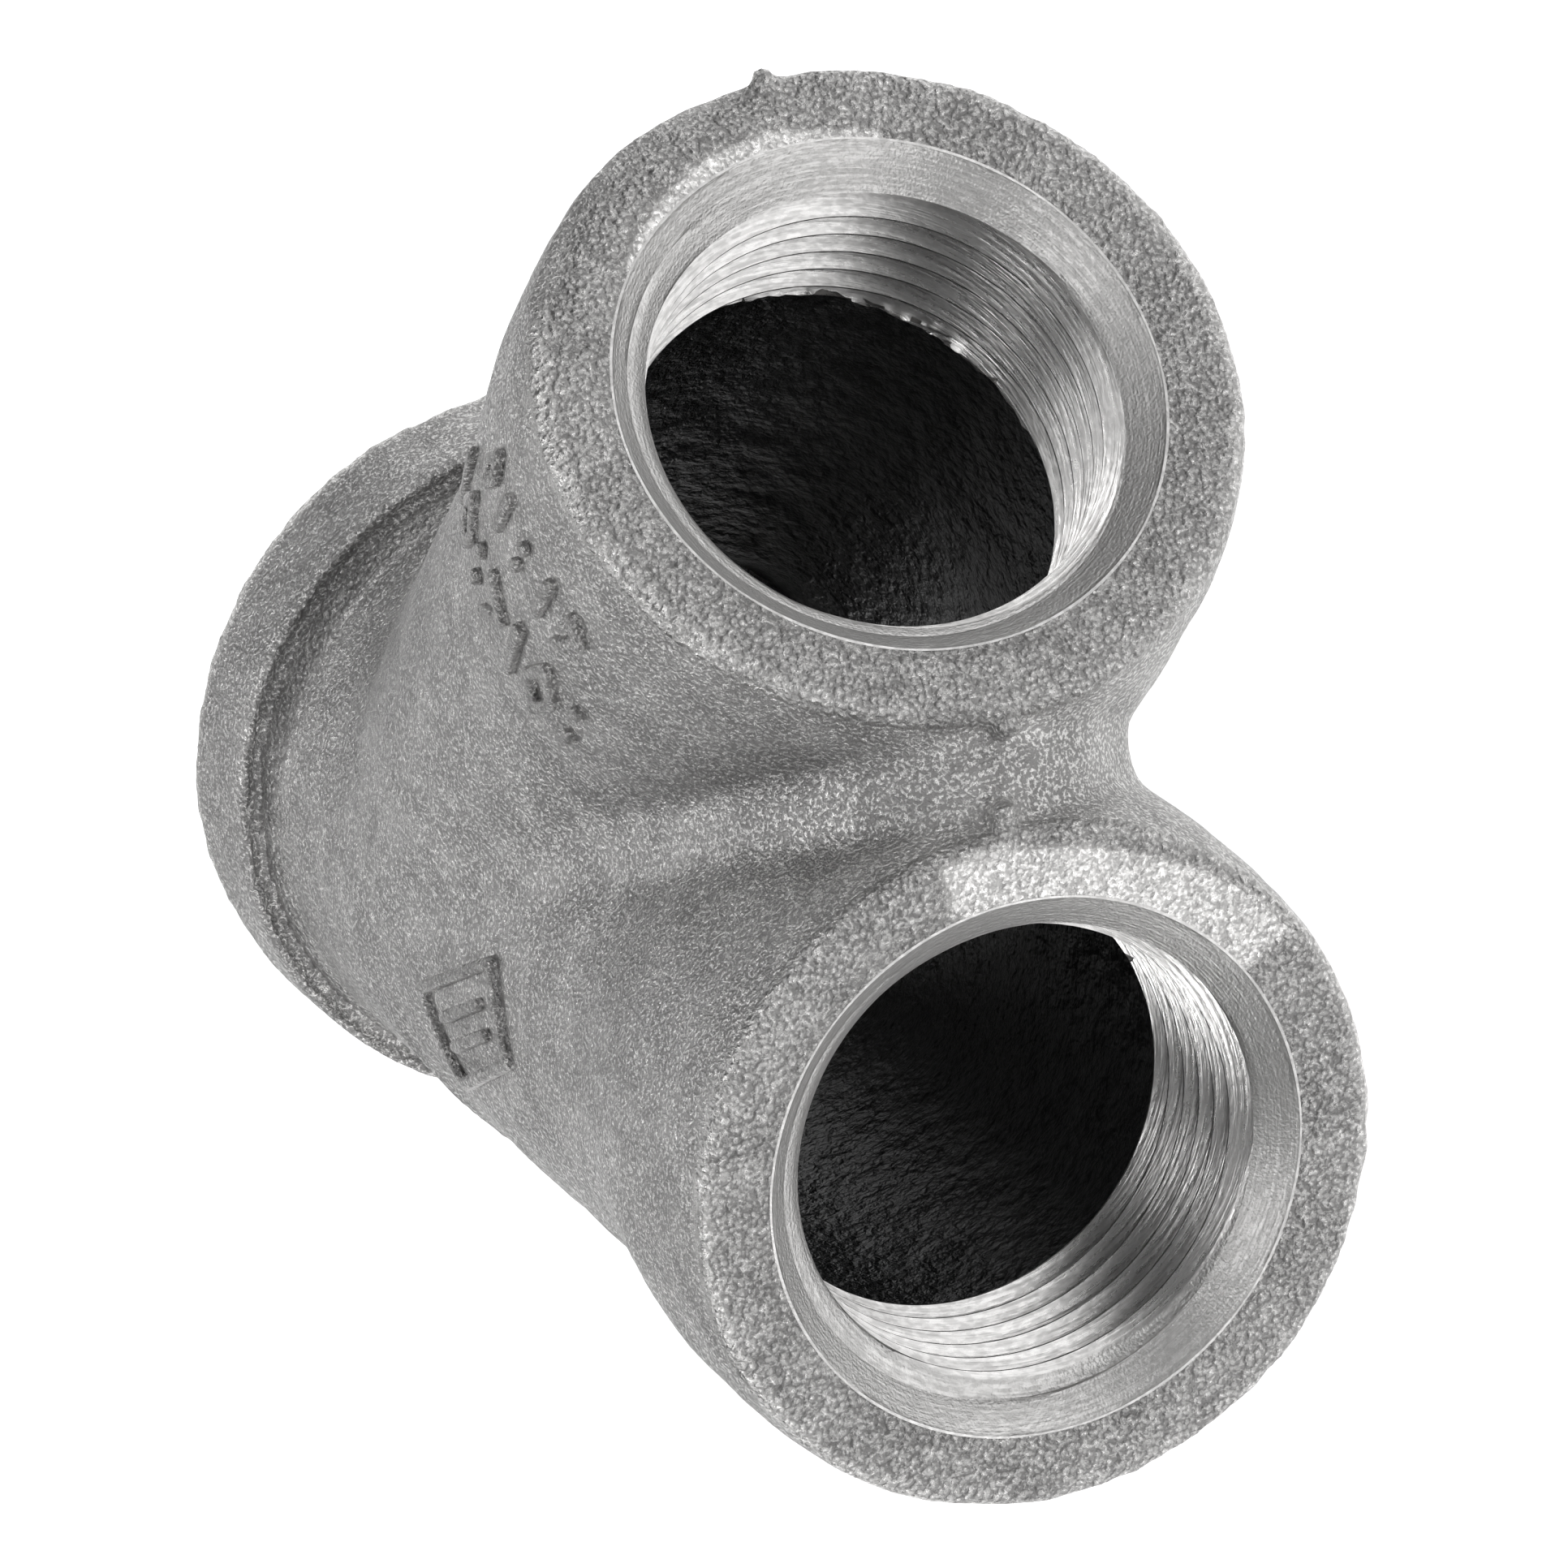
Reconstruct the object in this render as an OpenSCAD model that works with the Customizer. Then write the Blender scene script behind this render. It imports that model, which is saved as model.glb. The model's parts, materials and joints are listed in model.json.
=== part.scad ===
// 45 degree lateral (Y-branch) with a female pipe thread on all three outlets.
// It is one malleable iron casting, drawn as its named regions, which meet face to
// face. The run lies along +X from inlet to outlet, the branch leaves it toward +Y,
// the centrelines lie level and +Z is up. The origin is on the inlet's axis, at the
// foot of its countersink, where the thread starts. All sizes are in millimetres.

/* [Centrelines] */
// Inlet face to the crossing of the centrelines
inlet_reach = 19.8; // [19:0.1:22]
// Crossing of the centrelines to each outlet face
outlet_reach = 51.6; // [51:0.1:54]
// Angle between the run and the branch
branch_angle = 45; // [45:1:60]

/* [Casting walls] */
// Outer radius of the barrels
barrel_r = 17; // [16.6:0.1:17.6]
// Thickness of the barrel walls
barrel_wall = 3; // [2.5:0.1:3]

/* [Bands] */
// Outer radius of the thickened band round each mouth
band_r = 18.5; // [18:0.1:19]
// Width of the stepped band at the inlet
inlet_band_w = 6.8; // [5:0.1:8]
// Distance from the crossing at which an outlet band starts to swell
swell_start = 31; // [30:0.5:32]
// Length over which an outlet band swells to its full radius
swell_length = 10; // [8:0.5:12]
// Rounding on the corners of the bands
band_round = 0.9; // [0.4:0.1:1.2]

/* [Threads] */
// Minor radius of the internal thread, drawn as a plain bore
thread_r = 11.85; // [11.8:0.01:12]
// Depth from a face to the end of its thread
thread_depth = 12.7; // [12:0.1:15]
// Radius of the countersink at each mouth
countersink_r = 14.3; // [14.1:0.1:14.6]

/* [Crotch web] */
// Rise of the web above the outlets that it joins
web_rise = 1.5; // [0.5:0.1:2]
// Thickness of the web
web_thickness = 4.5; // [3:0.5:6]
// Distance from the crossing to the root of the web
web_root = 26; // [22:0.5:30]
// Distance from the crossing to the front edge of the web
web_reach = 50.5; // [49:0.5:51]

/* [Raised marks] */
// Height of the cast marks above the surface round them
mark_height = 0.5; // [0.3:0.1:0.8]
// Length of the plain pad on the run
pad_length = 12; // [9:0.5:13]
// Width of the plain pad on the run
pad_width = 6; // [5:0.5:8]
// Number of marks in the long row on the branch
long_row_count = 7; // [3:1:7]
// Number of marks in the short row on the branch
short_row_count = 5; // [2:1:5]

/* [Hidden] */
$fn = 96;
slack = 1;                              // overshoot of every cutting tool
far = 3 * outlet_reach;                 // more than the whole casting
cavity_r = barrel_r - barrel_wall;
countersink_depth = countersink_r - thread_r;
crossing_x = inlet_reach - countersink_depth;
swell_steps = 8;
pad_station = 15.5;                     // middle of the pad, past the crossing
pad_offset = -1.8;                      // and to the side of the run's top line
pad_turn = 26;                          // the pad sits askew on the run
pad_rim = 1;
pad_bar_offset = 1.5;
mark_depth = 6;                         // how far a mark's outline is cut down
mark_w = 1.2;
mark_pitch = 2.3;
long_row_station = 37;                  // middle of the long row, along the branch
long_mark = 5.5;
short_row_station = 44.2;
short_mark = 3.6;

// Points of a rounded outside corner round (x, y), from angle a to angle b
function corner(x, y, r, a, b, steps = 5) =
    [for (i = [0:steps]) let (t = a + (b - a) * i / steps) [x + r * cos(t), y + r * sin(t)]];

// Smooth rise from 0 to 1
function ease(t) = t * t * (3 - 2 * t);

// Radius and station of an outlet band at a fraction t of its swell
function swell_point(t) = [barrel_r + (band_r - barrel_r) * ease(t), swell_start + swell_length * t];

// Outline of an outlet band as [radius, distance from the crossing], raised by rise
function outlet_outline(rise) = concat(
    [[0, swell_start]],
    [for (i = [0:swell_steps]) swell_point(i / swell_steps) + [rise, 0]],
    corner(band_r - band_round + rise, outlet_reach - band_round, band_round, 0, 90),
    [[0, outlet_reach]]
);

// Outline of the inlet band as [radius, distance from the face]
function inlet_outline() = concat(
    [[0, 0]],
    corner(band_r - band_round, band_round, band_round, -90, 0),
    corner(band_r - band_round, inlet_band_w - band_round, band_round, 0, 90),
    [[0, inlet_band_w]]
);

// Places children, drawn along +Z, on the run from the inlet face inwards
module on_inlet() { translate([-countersink_depth, 0, 0]) rotate([0, 90, 0]) children(); }

// Places children, drawn along +Z, on the run from the crossing outwards
module on_run() { translate([crossing_x, 0, 0]) rotate([0, 90, 0]) children(); }

// Places children, drawn along +Z, on the branch from the crossing outwards
module on_branch() { translate([crossing_x, 0, 0]) rotate([0, 90, branch_angle]) children(); }

// Places children at a mouth, with +Z pointing out of it
module at_inlet_mouth() { translate([-countersink_depth, 0, 0]) rotate([0, -90, 0]) children(); }

module at_run_mouth() { on_run() translate([0, 0, outlet_reach]) children(); }

module at_branch_mouth() { on_branch() translate([0, 0, outlet_reach]) children(); }

// Corner of space nearer to the branch than to the run. Its two upright faces hold
// the mitres between the equal barrels: one in the fork and one behind the branch.
module branch_side() {
    translate([crossing_x, 0, -far]) rotate(branch_angle / 2) cube([far, far, 2 * far]);
}

// Cylinder centred on the crossing that reaches past both ends, along Z
module through_cylinder(r) { translate([0, 0, -far]) cylinder(r = r, h = 2 * far); }

module run_cavity() { on_run() through_cylinder(cavity_r); }

module branch_cavity() { on_branch() through_cylinder(cavity_r); }

// Countersink that opens upward to z = 0
module countersink() {
    translate([0, 0, -countersink_depth])
        cylinder(r1 = thread_r, r2 = countersink_r, h = countersink_depth);
}

// Solid of an outlet band, along +Z from the crossing
module outlet_solid(rise = 0) { rotate_extrude() polygon(outlet_outline(rise)); }

// Thin skin over an outlet and its barrel, along +Z from the crossing
module outlet_skin(rise) {
    difference() {
        union() {
            cylinder(r = barrel_r + rise, h = swell_start);
            outlet_solid(rise);
        }
        translate([0, 0, -slack]) cylinder(r = barrel_r, h = swell_start + 2 * slack);
        outlet_solid();
    }
}

module run_barrel() {
    color("dimgray") difference() {
        translate([inlet_band_w, 0, 0]) on_inlet()
            cylinder(r = barrel_r, h = inlet_reach + swell_start - inlet_band_w);
        run_cavity();
        branch_side();
    }
}

module branch_barrel() {
    color("dimgray") difference() {
        intersection() {
            on_branch() translate([0, 0, -far]) cylinder(r = barrel_r, h = far + swell_start);
            branch_side();
        }
        branch_cavity();
    }
}

module inlet_band() {
    color("gray") difference() {
        on_inlet() rotate_extrude() polygon(inlet_outline());
        run_cavity();
        at_inlet_mouth() countersink();
    }
}

module run_outlet_band() {
    color("gray") difference() {
        on_run() outlet_solid();
        run_cavity();
        branch_side();
        at_run_mouth() countersink();
    }
}

module branch_outlet_band() {
    color("gray") difference() {
        intersection() {
            on_branch() outlet_solid();
            branch_side();
        }
        branch_cavity();
        at_branch_mouth() countersink();
    }
}

// Threaded wall behind a mouth at z = 0, with the thread drawn as its minor bore
module threaded_wall() {
    color("gainsboro") difference() {
        translate([0, 0, -thread_depth]) cylinder(r = cavity_r, h = thread_depth);
        through_cylinder(thread_r);
        countersink();
    }
}

module inlet_thread() { at_inlet_mouth() threaded_wall(); }

module run_outlet_thread() { at_run_mouth() threaded_wall(); }

module branch_outlet_thread() { at_branch_mouth() threaded_wall(); }

// Upright slab midway between the two outlets, which bounds the web
module web_slab() {
    translate([crossing_x, 0, -far]) rotate(branch_angle / 2)
        translate([web_root, -web_thickness / 2, 0])
            cube([web_reach - web_root, web_thickness, 2 * far]);
}

// Web in the fork: a low rib along the valley between the outlets, thickest in front
module crotch_web() {
    color("dimgray") {
        intersection() {
            on_branch() outlet_skin(web_rise);
            web_slab();
            branch_side();
        }
        difference() {
            intersection() {
                on_run() outlet_skin(web_rise);
                web_slab();
            }
            branch_side();
        }
    }
}

// Takes an outline, drawn in the level plane, up through the top of a barrel
module through_top() {
    translate([0, 0, barrel_r - mark_depth]) linear_extrude(height = 2 * mark_depth) children();
}

module oblong(length, width) {
    for (side = [-1, 1]) translate([side * (length - width) / 2, 0]) circle(d = width);
    square([length - width, width], center = true);
}

module pad_outline() {
    difference() {
        oblong(pad_length, pad_width);
        oblong(pad_length - 2 * pad_rim, pad_width - 2 * pad_rim);
    }
    for (side = [-1, 1]) translate([side * pad_bar_offset, 0])
        square([pad_rim, pad_width - pad_rim], center = true);
}

// Plain oblong ring with two bars, raised on the run
module maker_pad() {
    color("dimgray") intersection() {
        on_run() outlet_skin(mark_height);
        translate([crossing_x + pad_station, pad_offset, 0]) rotate(pad_turn)
            through_top() pad_outline();
    }
}

// Row across the branch in which plain bars alternate with pairs of round pellets
module mark_row(count, station, length) {
    for (i = [0:count - 1]) translate([station, (i - (count - 1) / 2) * mark_pitch]) {
        if (i % 2 == 0) square([length, mark_w], center = true);
        else for (side = [-1, 1]) translate([side * length / 4, 0]) circle(r = mark_w * 0.7);
    }
}

// Two rows of plain marks, raised on the branch
module cast_marks() {
    color("dimgray") intersection() {
        on_branch() outlet_skin(mark_height);
        translate([crossing_x, 0, 0]) rotate(branch_angle) through_top() {
            mark_row(long_row_count, long_row_station, long_mark);
            mark_row(short_row_count, short_row_station, short_mark);
        }
    }
}

run_barrel();
branch_barrel();
inlet_band();
run_outlet_band();
branch_outlet_band();
inlet_thread();
run_outlet_thread();
branch_outlet_thread();
crotch_web();
maker_pad();
cast_marks();
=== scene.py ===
# %% [markdown]
# # A pipe lateral in malleable iron
#
# The object is a Y-shaped pipe fitting: one sand casting whose three mouths were
# cut with a taper thread afterwards. The CAD frame gives every size that matters,
# as plain cylinders. This lesson gives it the skin of a real casting: soft fillets,
# sand grain, a web in the fork, true helical threads, and a lit table to lie on.
#
# First the frame is loaded. Everything later is placed from its record and boxes.

# %% Load the frame
import json
import math
import bmesh
import bpy
import numpy as np
import openvdb
from mathutils import Matrix, Vector, noise


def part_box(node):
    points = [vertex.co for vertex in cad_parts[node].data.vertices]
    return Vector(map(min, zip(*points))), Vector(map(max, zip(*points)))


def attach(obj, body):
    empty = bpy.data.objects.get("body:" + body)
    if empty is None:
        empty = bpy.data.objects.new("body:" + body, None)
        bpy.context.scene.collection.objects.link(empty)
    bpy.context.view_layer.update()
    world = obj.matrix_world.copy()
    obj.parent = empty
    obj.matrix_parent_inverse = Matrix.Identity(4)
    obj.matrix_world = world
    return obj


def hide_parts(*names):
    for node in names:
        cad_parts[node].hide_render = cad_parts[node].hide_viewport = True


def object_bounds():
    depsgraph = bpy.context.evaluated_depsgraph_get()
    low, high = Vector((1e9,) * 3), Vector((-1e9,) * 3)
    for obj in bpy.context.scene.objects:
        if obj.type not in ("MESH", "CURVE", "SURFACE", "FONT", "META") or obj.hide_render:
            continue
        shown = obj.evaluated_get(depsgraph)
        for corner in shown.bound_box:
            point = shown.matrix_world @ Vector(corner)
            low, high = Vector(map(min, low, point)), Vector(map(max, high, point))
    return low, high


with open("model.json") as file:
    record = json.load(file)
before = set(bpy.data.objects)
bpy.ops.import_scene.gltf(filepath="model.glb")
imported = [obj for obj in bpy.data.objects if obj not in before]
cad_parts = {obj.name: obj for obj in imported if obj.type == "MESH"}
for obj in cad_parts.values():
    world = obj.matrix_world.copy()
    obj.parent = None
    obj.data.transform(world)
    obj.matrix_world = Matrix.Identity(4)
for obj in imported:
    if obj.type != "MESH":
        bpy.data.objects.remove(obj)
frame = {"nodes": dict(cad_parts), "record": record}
cad_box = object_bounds()
print("CAD nodes:", ", ".join(sorted(frame["nodes"])))

# %% [markdown]
# ## The sizes
#
# Blender works in metres, but a fitting is thought about in millimetres, so the
# shape functions below use millimetres and one function converts at the end. The
# mounts in the record say where each mouth is and which way it points.

# %% Read the driving sizes
MM = 0.001
mounts = {m["name"]: m for m in frame["record"]["mounts"]}
inlet_low, inlet_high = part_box("inlet_band")
run_band_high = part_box("run_outlet_band")[1]
thread_low, thread_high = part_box("inlet_thread")
inlet_face = inlet_low.x / MM
shoulder = inlet_high.x / MM
band_r = inlet_high.z / MM
run_face = run_band_high.x / MM
thread_depth = (thread_high.x - thread_low.x) / MM
bore_r = mounts["run_inlet"]["dims"]["r_mm"]
branch_way = Vector(mounts["branch_outlet"]["axis"])
branch_point = Vector(mounts["branch_outlet"]["pos_m"]) / MM
fork_angle = math.atan2(branch_way.y, branch_way.x)
crossing = branch_point.x - branch_point.y / math.tan(fork_angle)
reach = run_face - crossing
floor_z = cad_box[0][2]
print(f"crossing {crossing:.2f}, reach {reach:.2f}, band radius {band_r:.2f},",
      f"fork {math.degrees(fork_angle):.1f} degrees, thread depth {thread_depth:.2f}")

# %% [markdown]
# ## The camera
#
# A small part seen from a metre away shows almost no perspective, so the lens is
# very long. The camera looks down into the two outlets and is rolled well over, so
# that the branch stands above the run.

# %% Place the camera
CAMERA_DISTANCE = 1100.44
CAMERA_AZIMUTH = math.radians(22.315)
CAMERA_ELEVATION = math.radians(19.373)
CAMERA_ROLL = math.radians(100.666)
CAMERA_LENS = 484.47
AIM = Vector((crossing + 1.51, 2.38, -6.55))


def look_from(aim, azimuth, elevation, distance, roll):
    """World matrix of a camera that looks at aim, turned about its own line of sight."""
    level = math.cos(elevation)
    back = Vector((level * math.cos(azimuth), level * math.sin(azimuth), math.sin(elevation)))
    upright = back.to_track_quat("Z", "Y").to_matrix().to_4x4()
    place = Matrix.Translation((aim + back * distance) * MM)
    return place @ upright @ Matrix.Rotation(roll, 4, "Z")


camera_data = bpy.data.cameras.new("camera")
camera_data.lens = CAMERA_LENS
camera_data.sensor_width = 36
camera_data.clip_end = 20
camera = bpy.data.objects.new("camera", camera_data)
camera.matrix_world = look_from(AIM, CAMERA_AZIMUTH, CAMERA_ELEVATION, CAMERA_DISTANCE, -CAMERA_ROLL)
bpy.context.scene.collection.objects.link(camera)
bpy.context.scene.camera = camera
print("camera at", [round(v, 3) for v in camera.location])

# %% [markdown]
# ## Shape as distance
#
# A casting has no sharp inside corner: metal flows, and sand crumbles. Bevel and
# fillet tools struggle where three curved walls meet. A distance function does
# not: each wall is a formula that is negative inside the metal, and a soft minimum
# of two formulas is a fillet. These helpers round an outside corner, fill an inside
# one, and fade a feature in and out.

# %% Soft corners and fillets


def smooth(t):
    """Rise from 0 to 1 with no corner at either end."""
    t = np.clip(t, 0, 1)
    return t * t * (3 - 2 * t)


def bump_between(value, low, high, edge):
    """1 between low and high, 0 outside, with edges of a given width."""
    return smooth((value - low) / edge) * smooth((high - value) / edge)


def corner(a, b, radius):
    """The metal inside both a and b, with the edge between them rounded."""
    outside = np.hypot(np.maximum(a + radius, 0), np.maximum(b + radius, 0))
    return outside + np.minimum(np.maximum(a, b) + radius, 0) - radius


def fillet(a, b, size):
    """The metal inside a or b, with the valley between them filled."""
    overlap = np.clip(0.5 + 0.5 * (b - a) / size, 0, 1)
    return b + (a - b) * overlap - size * overlap * (1 - overlap)


# %% [markdown]
# ## Where things are on the casting
#
# Every feature is easiest to place from an axis or from a mouth, as a machinist
# would measure it. These helpers turn points in space into such measurements: how
# far along, how far out, and how far round.

# %% Measure from the axes and the mouths
RUN_WAY, BRANCH_WAY = Vector((1, 0, 0)), branch_way
CENTRE = Vector((crossing, 0, 0))
MOUTHS = {
    "inlet": (Vector((inlet_face, 0, 0)), -RUN_WAY),
    "run_outlet": (CENTRE + RUN_WAY * reach, RUN_WAY),
    "branch_outlet": (CENTRE + BRANCH_WAY * reach, BRANCH_WAY),
}


def run_frame(p):
    """Station along the run past the crossing, distance from its axis, and y, z."""
    return p[:, 0] - crossing, np.hypot(p[:, 1], p[:, 2]), p[:, 1], p[:, 2]


def turned_frame(p, angle):
    """The same along a level line from the crossing at an angle to the run."""
    x = p[:, 0] - crossing
    station = x * math.cos(angle) + p[:, 1] * math.sin(angle)
    side = p[:, 1] * math.cos(angle) - x * math.sin(angle)
    return station, np.hypot(side, p[:, 2]), side, p[:, 2]


def mouth_frame(p, mouth):
    """Height above a mouth's face, distance from its axis, and degrees round it."""
    centre, way = MOUTHS[mouth]
    side = np.cross((0, 0, 1), way)
    rel = p - np.array(centre)
    x, y = rel @ side, rel[:, 2]
    return rel @ np.array(way), np.hypot(x, y), np.degrees(np.arctan2(y, x))


def mouth_point(mouth, height, radius, degrees):
    """The point with these measurements."""
    centre, way = MOUTHS[mouth]
    side = Vector((0, 0, 1)).cross(way)
    angle = math.radians(degrees)
    up = Vector((0, 0, 1)) * math.sin(angle)
    return np.array(centre + way * height + (side * math.cos(angle) + up) * radius)


# %% [markdown]
# ## The faces of the mouths
#
# Nobody machines the end face of a cheap fitting. It keeps the coarse sand surface
# of the mould, apart from patches where a grinder took off the gate and the flash.
# The patches are smoother, paler and a little lower. Both the shape and the finish
# need to know where they are, so one function answers for both.

# %% Rough faces and ground patches
CAVITY_R = 14.0
SOCKET_R = 14.40
FACE_PROUD = 0.16
GROUND_PATCHES = {
    # mouth: (from degrees, to degrees, outer radius)
    "inlet": (100, 175, 16.9),
    "run_outlet": (-56, 16, 17.5),
    "branch_outlet": (-18, 52, 15.3),
}


def ground_share(p):
    """1 on the ground patches of the mouths' faces, 0 elsewhere."""
    share = np.zeros(len(p))
    for mouth, (start, end, outer) in GROUND_PATCHES.items():
        height, radius, degrees = mouth_frame(p, mouth)
        outer = outer + 0.3 * np.sin(np.radians(degrees) * 5)
        patch = bump_between(degrees, start, end, 1.5) * smooth((outer - radius) / 0.3)
        share = np.maximum(share, patch * (height > -0.8))
    return share


def face_share(p):
    """1 where the sand left its coarsest grain, 0 on the smooth barrels."""
    share = np.zeros(len(p))
    for mouth in MOUTHS:
        height, radius, _ = mouth_frame(p, mouth)
        near = smooth(1 + (height + 0.30) / 0.5) * (radius < band_r + 1.5)
        share = np.maximum(share, near)
    _, radius, _, _ = run_frame(p)
    behind_band = bump_between(p[:, 0], shoulder - 0.2, shoulder + 2.2, 0.8) * (radius < band_r - 0.25)
    return np.maximum(share, 0.75 * behind_band)


# %% [markdown]
# ## The outside of the casting
#
# The outlets swell gently from barrel to band, while the inlet band is a separate
# step with a groove and a rough fillet behind it. The branch is slightly fatter than
# the run and thins toward the crossing, so the two barrels melt into each other.

# %% Describe the run and the branch
RUN_BARREL, RUN_BAND = 16.8, 18.45
BRANCH_BARREL, BRANCH_BAND = 17.35, 18.7
SWELL_START, SWELL_LENGTH = 29.0, 14.0
MOUTH_TAPER, MOUTH_TAPER_LENGTH = 0.35, 4.0
EDGE_ROUND, BAND_ROUND = 0.6, 0.45
SHOULDER_FILLET, GROOVE_R, GROOVE_BED = 1.7, 0.45, 0.95
BRANCH_THINNING, THINNING_END, BRANCH_BACK = 0.045, 12.0, 4.0
DROOP, DROOP_START, DROOP_WIDTH = 0.9, 15.9, 2.6


def outlet_radius(station, barrel, band):
    """Outside radius of an outlet and its barrel."""
    swell = smooth((station - SWELL_START) / SWELL_LENGTH)
    taper = np.clip((station - reach) / MOUTH_TAPER_LENGTH + 1, 0, None)
    return barrel + (band - barrel) * swell - MOUTH_TAPER * taper ** 2


def face_height(p, mouth):
    """Height of the rough face above its nominal plane, falling to it at the hole."""
    _, radius, _ = mouth_frame(p, mouth)
    return FACE_PROUD * (1 - ground_share(p)) * smooth((radius - SOCKET_R - 0.15) / 0.5)


def run_wall(p):
    """The run: barrel, swelling outlet band and stepped, grooved inlet band."""
    station, radius, _, _ = run_frame(p)
    end = station - reach - face_height(p, "run_outlet")
    barrel = corner(radius - outlet_radius(station, RUN_BARREL, RUN_BAND), end, EDGE_ROUND)
    barrel = np.maximum(barrel, inlet_face + 1 - p[:, 0])
    inlet_end = inlet_face - face_height(p, "inlet") - p[:, 0]
    ring = corner(radius - band_r, np.maximum(inlet_end, p[:, 0] - shoulder), BAND_ROUND)
    groove = np.hypot(p[:, 0] - shoulder, radius - band_r + GROOVE_BED) - GROOVE_R
    return np.maximum(fillet(barrel, ring, SHOULDER_FILLET), -groove)


def branch_wall(p):
    """The branch, which thins toward the crossing and ends inside the run."""
    station, radius, _, _ = turned_frame(p, fork_angle)
    _, _, degrees = mouth_frame(p, "branch_outlet")
    droop = DROOP * bump_between(degrees, -8, 78, 22) * smooth((radius - DROOP_START) / DROOP_WIDTH)
    end = station - reach - face_height(p, "branch_outlet") + droop
    thinned = BRANCH_BARREL - BRANCH_THINNING * np.clip(THINNING_END - station, 0, None)
    wall = corner(radius - outlet_radius(station, thinned, BRANCH_BAND), end, EDGE_ROUND)
    return np.maximum(wall, -station - BRANCH_BACK)


# %% [markdown]
# ## The web in the fork
#
# A thin rounded web stiffens the fork. Seen from the side, its edge is a quarter of
# an ellipse: it rises out of the body where the barrels part, and dives to the
# parting plane just behind the mouths. Deep valleys stay on both of its sides.

# %% Describe the web
WEB_START, WEB_LENGTH, WEB_HEIGHT = 22.0, 31.2, 12.9
WEB_HALF, WEB_FILLET = 1.25, 2.3
FORK_FILLET, FORK_FILLET_GAIN = 1.2, 2.2


def web_wall(p):
    """The web on the plane halfway between the run and the branch."""
    along, _, across, z = turned_frame(p, fork_angle / 2)
    a, b = np.maximum(along - WEB_START, 0) / WEB_LENGTH, z / WEB_HEIGHT
    size = np.maximum(np.hypot(a, b), 1e-6)
    grade = np.maximum(np.hypot(a / WEB_LENGTH, b / WEB_HEIGHT) / size, 1 / WEB_LENGTH)
    edge = np.maximum((size - 1) / grade, WEB_START - along)
    return corner(np.abs(across) - WEB_HALF, edge, WEB_HALF * 0.9)


# %% [markdown]
# ## Flash
#
# The two halves of the mould met on the level plane through all three axes. Metal
# seeped in between them and left a faint line all round the casting. Where it was
# snapped off at the corners of the mouths, it left small nubs.

# %% Describe the flash and the whole outside
SEAM_HEIGHT, SEAM_WIDTH = 0.16, 0.35
NUBS = [
    # mouth, height, radius, degrees, size
    ("branch_outlet", -0.35, 18.35, 3, 0.60),
    ("branch_outlet", -0.05, 18.15, 106, 0.50),
    ("branch_outlet", -0.45, 18.75, 181, 0.75),
    ("run_outlet", -0.80, 18.85, 2, 0.80),
    ("run_outlet", 0.05, 17.9, 14, 0.45),
    ("inlet", -0.5, 18.2, 178, 0.70),
]


def add_flash(p, body):
    """The body with the parting line and the nubs."""
    for mouth, height, radius, degrees, size in NUBS:
        nub = np.linalg.norm(p - mouth_point(mouth, height, radius, degrees), axis=1) - size
        body = fillet(body, nub, 0.35)
    away = np.ones(len(p))
    for mouth in MOUTHS:
        height, _, _ = mouth_frame(p, mouth)
        away = away * smooth(-height - 0.2)
    return body - SEAM_HEIGHT * away * np.exp(-(p[:, 2] / SEAM_WIDTH) ** 2)


def casting(p):
    """Distance from points to the outside of the whole casting, less than 0 inside."""
    run, branch = run_wall(p), branch_wall(p)
    _, run_radius, run_side, z = run_frame(p)
    _, branch_radius, branch_side, _ = turned_frame(p, fork_angle)
    agree = run_side * branch_side * math.cos(fork_angle) + z * z
    agree = agree / np.maximum(run_radius * branch_radius, 1)
    body = fillet(run, branch, FORK_FILLET + FORK_FILLET_GAIN * (1 - agree))
    return add_flash(p, fillet(body, web_wall(p), WEB_FILLET))


# %% [markdown]
# ## From a formula to a mesh
#
# OpenVDB, which Blender uses for its volumes, turns a block of distances into a
# closed net of quads. Slices keep the memory small. The net follows the formula, so
# every fillet is there, and the fine grain is pushed into its vertices afterwards.

# %% Mesh helpers


def new_piece(name, points, faces):
    """A mesh object from points in millimetres."""
    mesh = bpy.data.meshes.new(name)
    mesh.from_pydata((np.asarray(points) * MM).tolist(), [], faces)
    mesh.validate()
    piece = bpy.data.objects.new(name, mesh)
    bpy.context.scene.collection.objects.link(piece)
    return piece


def read_points(piece):
    """A piece's vertices in millimetres, as an array."""
    flat = np.empty(len(piece.data.vertices) * 3, np.float32)
    piece.data.vertices.foreach_get("co", flat)
    return flat.reshape(-1, 3).astype(float) / MM


def write_points(piece, points):
    """Move a piece's vertices to points in millimetres."""
    piece.data.vertices.foreach_set("co", (points * MM).astype(np.float32).ravel())
    piece.data.update()


def mesh_of(name, distance, low, high, voxel):
    """A closed net of quads round the points where a distance function is below 0."""
    low, high = np.array(low, float), np.array(high, float)
    counts = np.ceil((high - low) / voxel).astype(int) + 1
    y, z = np.meshgrid(low[1] + voxel * np.arange(counts[1]), low[2] + voxel * np.arange(counts[2]),
                       indexing="ij")
    values = np.empty(counts, np.float32)
    for i in range(counts[0]):
        p = np.column_stack([np.full(y.size, low[0] + voxel * i), y.ravel(), z.ravel()])
        values[i] = np.clip(distance(p) / voxel, -3, 3).reshape(y.shape)
    grid = openvdb.FloatGrid()
    grid.copyFromArray(values)
    points, _, quads = grid.convertToPolygons(isovalue=0.0)
    piece = new_piece(name, points * voxel + low, quads.tolist())
    print(f"{name}: {len(quads)} faces from {values.size} distances")
    return piece


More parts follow.
